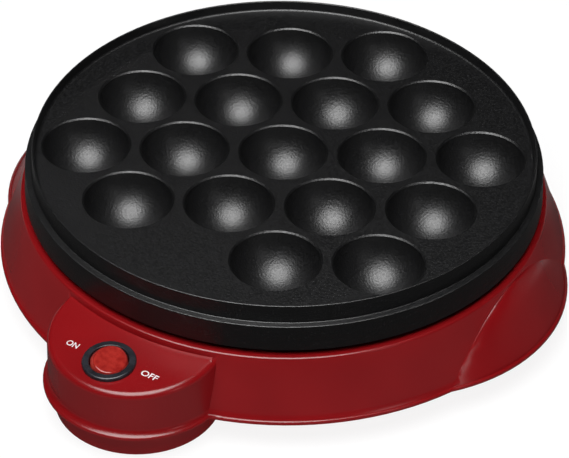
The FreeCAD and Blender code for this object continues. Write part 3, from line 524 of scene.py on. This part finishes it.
# ---- Switch body ----------------------------------------------------------------------------------
# A round snap-in rocker switch: its black bezel lies on the lobe's face and its can hangs inside.
# Glass-filled nylon, moulded black, with a bluish sheen on the rounded bezel.
NYLON_BLACK = (0.010, 0.010, 0.013, 1.0)
NYLON_GREY = (0.022, 0.022, 0.028, 1.0)
NYLON_ROUGHNESS = 0.27
NYLON_IOR = 1.55
NYLON_RELIEF = 0.00001
NYLON_GRAIN_PER_METRE = 5200.0
NYLON_SINK_PER_METRE = 220.0
SWITCH_SPOT = Vector((0.0005, -0.0215, 0.0))
SMALL_RING_R = 0.004

nylon, tree, shader = new_finish("switch_nylon", NYLON_ROUGHNESS, NYLON_IOR)
skin = place_group(tree, moulded_skin, Grain=NYLON_GRAIN_PER_METRE, Sink=NYLON_SINK_PER_METRE)
colour_by(tree, shader, skin["Tone"], NYLON_BLACK, NYLON_GREY)
relief(tree, shader, skin["Relief"], NYLON_RELIEF)
bezel = merged_copy("switch_body", "switch_bezel", "base")
even_rings(bezel, (lobe_face @ Matrix.Translation(SWITCH_SPOT),), SMALL_RING_R)
dress(bezel, nylon)


# ---- Switch rocker --------------------------------------------------------------------------------
# The clear red cap that tips on its pivot, its left side up when the maker is off. Its sides draw in
# to an oval crown with a rounded edge and a shallow dish for the finger; tinted polycarbonate, polished.
# Its sloping sides are painted a paler red than its crown, as painted light on the side.
ROCKER_R = 0.00815
ROCKER_FOOT = -0.0030
ROCKER_BROW = -0.0002
ROCKER_CROWN = 0.0024
CROWN_X = 0.0067
CROWN_Y = 0.0079
CROWN_ROUND = 0.0007
CROWN_STEPS = 4
DISH_IN = 0.0013
DISH_STEP_SHARE = 0.27
DISH_STEP = (CROWN_X - DISH_IN) * DISH_STEP_SHARE
DISH_DROPS = (0.000154, 0.000099, 0.000044)
ROCKER_SEGMENTS = 96
ROCKER_TILT = math.radians(12.0)
PIVOT = Vector((0.0, 0.0, -0.0012))
CLEAR_RED = (0.35, 0.024, 0.018, 1.0)
CLEAR_RED_DEEP = (0.25, 0.012, 0.010, 1.0)
CLEAR_RED_PAINTED_LIT = (0.50, 0.050, 0.038, 1.0)
POLISH = 0.07
CLEAR_IOR = 1.58
CLEAR_RELIEF = 0.00003
CLEAR_CLOUDS_PER_METRE = 420.0
CLEAR_CLOUDS = (0.35, 0.65)
CLEAR_WAVES_PER_METRE = 500.0
# Painted light: the side faces take a paler red than the crown, as if lit more strongly.
ROCKER_TONES = {"rocker_crown": (CLEAR_RED, CLEAR_RED_DEEP), "rocker_side_painted_light": (CLEAR_RED_PAINTED_LIT, CLEAR_RED)}


def pull_up(shape, face, rise):
    """The face extruded straight up; gives the new top face."""
    grown = bmesh.ops.extrude_face_region(shape, geom=[face])["geom"]
    top = [part for part in grown if isinstance(part, bmesh.types.BMFace)][0]
    bmesh.ops.translate(shape, verts=top.verts, vec=(0.0, 0.0, rise))
    return top


def add_piece(shape, name):
    """Turns a finished shape into an object of the scene at the origin."""
    mesh = bpy.data.meshes.new(name)
    shape.to_mesh(mesh)
    shape.free()
    piece = bpy.data.objects.new(name, mesh)
    scene.collection.objects.link(piece)
    return piece


shape = bmesh.new()
bmesh.ops.create_circle(shape, cap_ends=True, radius=ROCKER_R, segments=ROCKER_SEGMENTS)
bmesh.ops.translate(shape, verts=shape.verts, vec=(0.0, 0.0, ROCKER_FOOT))
shape.faces.ensure_lookup_table()
brow = pull_up(shape, shape.faces[0], ROCKER_BROW - ROCKER_FOOT)
crown = pull_up(shape, brow, ROCKER_CROWN - ROCKER_BROW)
bmesh.ops.scale(shape, verts=crown.verts, vec=(CROWN_X / ROCKER_R, CROWN_Y / ROCKER_R, 1.0))
crown_edges = list(crown.edges)
bmesh.ops.inset_individual(shape, faces=[crown], thickness=DISH_IN, depth=0.0)
for drop in DISH_DROPS:
    bmesh.ops.inset_individual(shape, faces=[crown], thickness=DISH_STEP, depth=-drop)
bmesh.ops.bevel(shape, geom=crown_edges, offset=CROWN_ROUND, segments=CROWN_STEPS, profile=0.5,
                affect="EDGES", material=-1)
bmesh.ops.recalc_face_normals(shape, faces=shape.faces)
crisp_edges(shape)
for face in shape.faces:
    # Faces below the crown's round take the second material, the paler red of painted light.
    face.material_index = 1 if face.calc_center_median().z < ROCKER_CROWN - CROWN_ROUND else 0
rocker = add_piece(shape, "rocker_cap")
rocker.data.transform(lobe_face @ Matrix.Translation(SWITCH_SPOT) @ Matrix.Translation(PIVOT)
                      @ Matrix.Rotation(ROCKER_TILT, 4, "Y") @ Matrix.Translation(-PIVOT))
for name, (lit, deep) in ROCKER_TONES.items():
    clear_red, tree, shader = new_finish(name, POLISH, CLEAR_IOR)
    clouds = between(tree, noise_field(tree, CLEAR_CLOUDS_PER_METRE), *CLEAR_CLOUDS)
    colour_by(tree, shader, clouds, lit, deep)
    relief(tree, shader, noise_field(tree, CLEAR_WAVES_PER_METRE, 1.0), CLEAR_RELIEF)
    rocker.data.materials.append(clear_red)
take_place(rocker, "rocker", "switch_rocker")


# ---- Terminals, fuse and ceramic block ------------------------------------------------------------
# Tinned brass push-on tabs under the switch, the fuse can beside them, and the two-way block of fired
# steatite, matt and faintly pitted, where the cord's cores are joined. They sit inside, out of sight.
TINNED = (0.70, 0.62, 0.45, 1.0)
TINNED_DULL = (0.48, 0.43, 0.34, 1.0)
TINNED_ROUGHNESS = 0.30
STEATITE = (0.80, 0.77, 0.70, 1.0)
STEATITE_SHADE = (0.64, 0.60, 0.53, 1.0)
STEATITE_ROUGHNESS = 0.62
STEATITE_CLOUDS_PER_METRE = 190.0
STEATITE_CLOUDS = (0.4, 0.7)
STEATITE_PITS_PER_METRE = 2400.0
STEATITE_RELIEF = 0.00008
ROLLED_STRETCH = (1.0, 22.0, 1.0)
ROLLED_RELIEF = 0.00003
STREAK_CLOUDS = (0.2, 0.8)
STREAK_POLISHES = 0.08
STREAK_DULLS = 0.12
BLOOM_PER_METRE = 26.0
BLOOM_CLOUDS = (0.38, 0.66)
TINNED_STREAKS_PER_METRE = 300.0
SHEET_STREAKS_PER_METRE = 90.0

rolled_metal, entry, leave = start_group("rolled_metal", {"Scale": SHEET_STREAKS_PER_METRE},
                                         ("Streaks", "Bloom"))
streaks = noise_field(rolled_metal, entry["Scale"], 3.0, ROLLED_STRETCH)
rolled_metal.links.new(streaks, leave["Streaks"])
bloom = between(rolled_metal, noise_field(rolled_metal, BLOOM_PER_METRE), *BLOOM_CLOUDS)
rolled_metal.links.new(bloom, leave["Bloom"])


def bare_metal(name, colour, tarnish, roughness, scale=SHEET_STREAKS_PER_METRE):
    """Metal with rolling streaks in its gloss and slow tarnish in its colour."""
    material, tree, shader = new_finish(name, roughness, metallic=1.0)
    rolled = place_group(tree, rolled_metal, Scale=scale)
    colour_by(tree, shader, rolled["Bloom"], colour, tarnish)
    smoothest, roughest = roughness - STREAK_POLISHES, roughness + STREAK_DULLS
    gloss = between(tree, rolled["Streaks"], *STREAK_CLOUDS, smoothest, roughest)
    tree.links.new(gloss, shader.inputs["Roughness"])
    relief(tree, shader, rolled["Streaks"], ROLLED_RELIEF)
    return material


tinned_brass = bare_metal("tinned_brass", TINNED, TINNED_DULL, TINNED_ROUGHNESS, TINNED_STREAKS_PER_METRE)
steatite, tree, shader = new_finish("steatite", STEATITE_ROUGHNESS)
fired = between(tree, noise_field(tree, STEATITE_CLOUDS_PER_METRE, 3.0), *STEATITE_CLOUDS)
colour_by(tree, shader, fired, STEATITE, STEATITE_SHADE)
relief(tree, shader, noise_field(tree, STEATITE_PITS_PER_METRE), STEATITE_RELIEF)
for node in ("switch_terminals", "heater_terminals", "thermal_fuse"):
    dress(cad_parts[node], tinned_brass)
for node in ("terminal_block", "heater_insulators", "shield_spacers"):
    dress(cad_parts[node], steatite)


# ---- Cord gland and foot pads ---------------------------------------------------------------------
# A rubber grommet in the rear inlet, left empty here, and four soft pads pressed into the feet.
# Both are moulded black rubber, matt and slightly bloomed.
RUBBER_BLACK = (0.022, 0.022, 0.022, 1.0)
RUBBER_BLOOM = (0.050, 0.049, 0.047, 1.0)
RUBBER_ROUGHNESS = 0.74
RUBBER_RELIEF = 0.00010
RUBBER_GRAIN_PER_METRE = 3600.0
RUBBER_SINK_PER_METRE = 120.0

rubber, tree, shader = new_finish("black_rubber", RUBBER_ROUGHNESS)
skin = place_group(tree, moulded_skin, Grain=RUBBER_GRAIN_PER_METRE, Sink=RUBBER_SINK_PER_METRE)
colour_by(tree, shader, skin["Tone"], RUBBER_BLACK, RUBBER_BLOOM)
relief(tree, shader, skin["Relief"], RUBBER_RELIEF)
for node in ("cord_gland", "foot_pads"):
    dress(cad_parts[node], rubber)


# ---- Heat shield and its straps -------------------------------------------------------------------
# A dish drawn from bright aluminised sheet steel under the heater, the straps that hold the tube,
# and the strap round the fuse.
ALUMINISED = (0.62, 0.62, 0.62, 1.0)
ALUMINISED_DULL = (0.44, 0.43, 0.42, 1.0)
ALUMINISED_ROUGHNESS = 0.30

sheet_steel = bare_metal("aluminised_sheet", ALUMINISED, ALUMINISED_DULL, ALUMINISED_ROUGHNESS)
for node in ("heat_shield", "heater_clips", "fuse_clip"):
    dress(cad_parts[node], sheet_steel)


# ---- Screws and rivets ----------------------------------------------------------------------------
# Zinc-plated pan-head screws with cross recesses hold the shield from above and the cover from below;
# rivets hold the tube's straps and the thermostat's spring leaf.
ZINC = (0.55, 0.55, 0.56, 1.0)
ZINC_DULL = (0.40, 0.40, 0.41, 1.0)
ZINC_ROUGHNESS = 0.26
ZINC_STREAKS_PER_METRE = 400.0
HEAD_R = 0.003
HEAD_H = 0.0014
HEAD_ROUND = 0.0005
HEAD_STEPS = 3
HEAD_SEGMENTS = 32
SHANK_R = 0.00125
RECESS_REACH = 0.0016
RECESS_HALF = 0.0003
RECESS_DEPTH = 0.0009
RECESS_TAPER = 0.6
SCREWS = 6
SCREW_TURN = 0.7

zinc = bare_metal("zinc_plate", ZINC, ZINC_DULL, ZINC_ROUGHNESS, ZINC_STREAKS_PER_METRE)
for node in ("clip_rivets", "leaf_rivet", "sensor_leaf"):
    dress(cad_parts[node], zinc)


def only(parts, kind):
    return [part for part in parts if isinstance(part, kind)]


def cross_head_screw(shape, length):
    """One screw with the top of its head at z = 0; the head's rim is rounded and its recess is cut in."""
    rim = bmesh.ops.create_circle(shape, radius=HEAD_R, segments=HEAD_SEGMENTS)["verts"]
    cross = []
    for quarter in range(4):
        turned = Matrix.Rotation(quarter * math.pi / 2, 3, "Z")
        for corner in ((RECESS_REACH, -RECESS_HALF), (RECESS_REACH, RECESS_HALF), (RECESS_HALF, RECESS_HALF)):
            cross.append(shape.verts.new(turned @ Vector((*corner, 0.0))))
    lines = [shape.edges.new((cross[i - 1], cross[i])) for i in range(len(cross))]
    around = list({edge for vertex in rim for edge in vertex.link_edges})
    bmesh.ops.triangle_fill(shape, edges=around + lines, use_beauty=True)
    walls = bmesh.ops.extrude_edge_only(shape, edges=lines)["geom"]
    deep = only(walls, bmesh.types.BMVert)
    bmesh.ops.translate(shape, verts=deep, vec=(0.0, 0.0, -RECESS_DEPTH))
    bmesh.ops.scale(shape, verts=deep, vec=(RECESS_TAPER, RECESS_TAPER, 1.0))
    bmesh.ops.contextual_create(shape, geom=only(walls, bmesh.types.BMEdge))
    edges = around
    for radius, level in ((HEAD_R, -HEAD_H), (SHANK_R, -HEAD_H), (SHANK_R, -length)):
        grown = bmesh.ops.extrude_edge_only(shape, edges=edges)["geom"]
        edges = only(grown, bmesh.types.BMEdge)
        for vertex in only(grown, bmesh.types.BMVert):
            flat = Vector((vertex.co.x, vertex.co.y, 0.0)).normalized() * radius
            vertex.co = (flat.x, flat.y, level)
    bmesh.ops.contextual_create(shape, geom=edges)
    bmesh.ops.bevel(shape, geom=around, offset=HEAD_ROUND, segments=HEAD_STEPS, profile=0.5,
                    affect="EDGES", material=-1)


for node, head_down in (("shield_screws", False), ("cover_screws", True)):
    low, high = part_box(node)
    circle_r, middle_y = high.x - HEAD_R, (low.y + high.y) / 2
    flip = Matrix.Rotation(math.pi if head_down else 0.0, 4, "X")
    shape = bmesh.new()
    for step in range(SCREWS):
        one = bmesh.new()
        cross_head_screw(one, high.z - low.z)
        bmesh.ops.recalc_face_normals(one, faces=one.faces)
        angle = step * 2 * math.pi / SCREWS
        spot = Vector((circle_r * math.cos(angle), middle_y + circle_r * math.sin(angle),
                       low.z if head_down else high.z))
        placed = Matrix.Translation(spot) @ flip @ Matrix.Rotation(SCREW_TURN * step, 4, "Z")
        bmesh.ops.transform(one, matrix=placed, verts=one.verts)
        carried = bpy.data.meshes.new("one_screw")
        one.to_mesh(carried)
        one.free()
        shape.from_mesh(carried)
        bpy.data.meshes.remove(carried)
    crisp_edges(shape)
    screws = add_piece(shape, "cross_" + node)
    dress(screws, zinc)
    take_place(screws, "base", node)


# ---- Heater ---------------------------------------------------------------------------------------
# A sheathed tube bent into three quarters of a ring, its cold legs turned forward into the lobe.
# Stainless steel, blued and browned by heat.
TUBE_STEEL = (0.22, 0.20, 0.18, 1.0)
TUBE_BLUED = (0.10, 0.11, 0.14, 1.0)
TUBE_ROUGHNESS = 0.38
TUBE_STREAKS_PER_METRE = 160.0

heated_tube = bare_metal("heated_tube", TUBE_STEEL, TUBE_BLUED, TUBE_ROUGHNESS, TUBE_STREAKS_PER_METRE)
dress(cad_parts["heater_element"], heated_tube)


# ---- Thermostat -----------------------------------------------------------------------------------
# A bimetal thermostat in a phenolic body, pushed up against the plate by a spring leaf.
# Its drawn aluminium cap is what touches the plate.
PHENOLIC = (0.030, 0.028, 0.027, 1.0)
PHENOLIC_PALE = (0.050, 0.046, 0.043, 1.0)
PHENOLIC_ROUGHNESS = 0.5
PHENOLIC_RELIEF = 0.00006
PHENOLIC_GRAIN_PER_METRE = 4200.0
PHENOLIC_SINK_PER_METRE = 300.0
CAP_ALUMINIUM = (0.75, 0.75, 0.76, 1.0)
CAP_DULL = (0.56, 0.56, 0.57, 1.0)
CAP_ROUGHNESS = 0.24
CAP_STREAKS_PER_METRE = 500.0

phenolic, tree, shader = new_finish("phenolic", PHENOLIC_ROUGHNESS)
skin = place_group(tree, moulded_skin, Grain=PHENOLIC_GRAIN_PER_METRE, Sink=PHENOLIC_SINK_PER_METRE)
colour_by(tree, shader, skin["Tone"], PHENOLIC, PHENOLIC_PALE)
relief(tree, shader, skin["Relief"], PHENOLIC_RELIEF)
dress(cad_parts["thermostat"], phenolic)
drawn_cap = bare_metal("drawn_cap", CAP_ALUMINIUM, CAP_DULL, CAP_ROUGHNESS, CAP_STREAKS_PER_METRE)
dress(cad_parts["thermostat_cap"], drawn_cap)


# ---- Bottom cover ---------------------------------------------------------------------------------
# The moulded plate that closes the housing from below, with its vents, two rear feet and the tub-shaped
# front foot. The same red ABS as the housing.
cover = merged_copy("bottom_cover", "closing_cover", "base")
dress(cover, red_plastic("cover_abs", dust=0.0))


# ---- Cooking plate --------------------------------------------------------------------------------
# Die-cast aluminium with eighteen cups, sprayed with a black non-stick coating and stoved.
# The coat is satin with fine mineral flecks, and turning picks has left hairlines on the flat.
COAT_BLACK = (0.0003, 0.0003, 0.0006, 1.0)
COAT_FLECK = (0.030, 0.030, 0.033, 1.0)
COAT_ROUGHNESS = 0.41
COAT_UNEVEN = 0.05
COAT_CLOUDS = (0.35, 0.65)
COAT_IOR = 1.74
COAT_RELIEF = 0.00013
COAT_DUST = 0.10
FLECKS_PER_METRE = 1050.0
FLECKED_CELLS = (0.80, 0.95)
FLECK_EDGE = (0.42, 0.18)
FLECK_SHARE = 0.55
PICK_MARKS_PER_METRE = 34.0
PICK_FINENESS = 0.006
PICK_SHARE = 0.30
LEDGE_CORNERS = ((0.11555, 0.05665, 0.0011), (0.11255, 0.05665, 0.0011))
LEDGE_ROUND_SHARE = 0.45

coat_flecks, entry, leave = start_group("coat_flecks", {"Scale": FLECKS_PER_METRE}, ("Fleck", "Relief"))
where = add_node(coat_flecks, "TexCoord").outputs["Object"]
cells = add_node(coat_flecks, "TexVoronoi", {"Vector": where, "Scale": entry["Scale"]}).outputs
chance = add_node(coat_flecks, "SeparateColor", {0: cells["Color"]}).outputs[0]
in_few_cells = between(coat_flecks, chance, *FLECKED_CELLS)
near_middle = between(coat_flecks, cells["Distance"], *FLECK_EDGE)
coat_flecks.links.new(combine(coat_flecks, "MULTIPLY", in_few_cells, near_middle), leave["Fleck"])
coat_flecks.links.new(noise_field(coat_flecks, entry["Scale"]), leave["Relief"])


def tighten_rounds(mesh, axis, corners, share):
    """Draws the rounds at corners given by radius and height in towards them, to a share of their size."""
    back = axis.inverted()
    for vertex in mesh.vertices:
        local = back @ vertex.co
        radius = math.hypot(local.x, local.y)
        for corner_r, corner_z, size in corners:
            if abs(radius - corner_r) < size and abs(local.z - corner_z) < size:
                fresh = (corner_r + (radius - corner_r) * share) / radius
                drop = (local.z - corner_z) * (1.0 - share)
                vertex.co = axis @ Vector((local.x * fresh, local.y * fresh, local.z - drop))


coat, tree, shader = new_finish("nonstick_coat", COAT_ROUGHNESS, COAT_IOR)
flecks = place_group(tree, coat_flecks, Scale=FLECKS_PER_METRE)
picked = place_group(tree, handling_marks, Scale=PICK_MARKS_PER_METRE, Fineness=PICK_FINENESS)["Marks"]
fallen = place_group(tree, settled_dust, Amount=COAT_DUST)["Dust"]
worn = combine(tree, "MAXIMUM", combine(tree, "MULTIPLY", picked, PICK_SHARE), fallen)
lightened = combine(tree, "MAXIMUM", combine(tree, "MULTIPLY", flecks["Fleck"], FLECK_SHARE), worn)
colour_by(tree, shader, lightened, COAT_BLACK, COAT_FLECK)
smoothest, roughest = COAT_ROUGHNESS - COAT_UNEVEN, COAT_ROUGHNESS + COAT_UNEVEN
gloss = between(tree, flecks["Relief"], *COAT_CLOUDS, smoothest, roughest)
tree.links.new(gloss, shader.inputs["Roughness"])
relief(tree, shader, flecks["Relief"], COAT_RELIEF)
plate = merged_copy("cooking_plate", "coated_plate", "plate")
tighten_rounds(plate.data, PLATE_AXIS, LEDGE_CORNERS, LEDGE_ROUND_SHARE)
even_rings(plate, (PLATE_AXIS,), SMALL_RING_R)
dress(plate, coat)
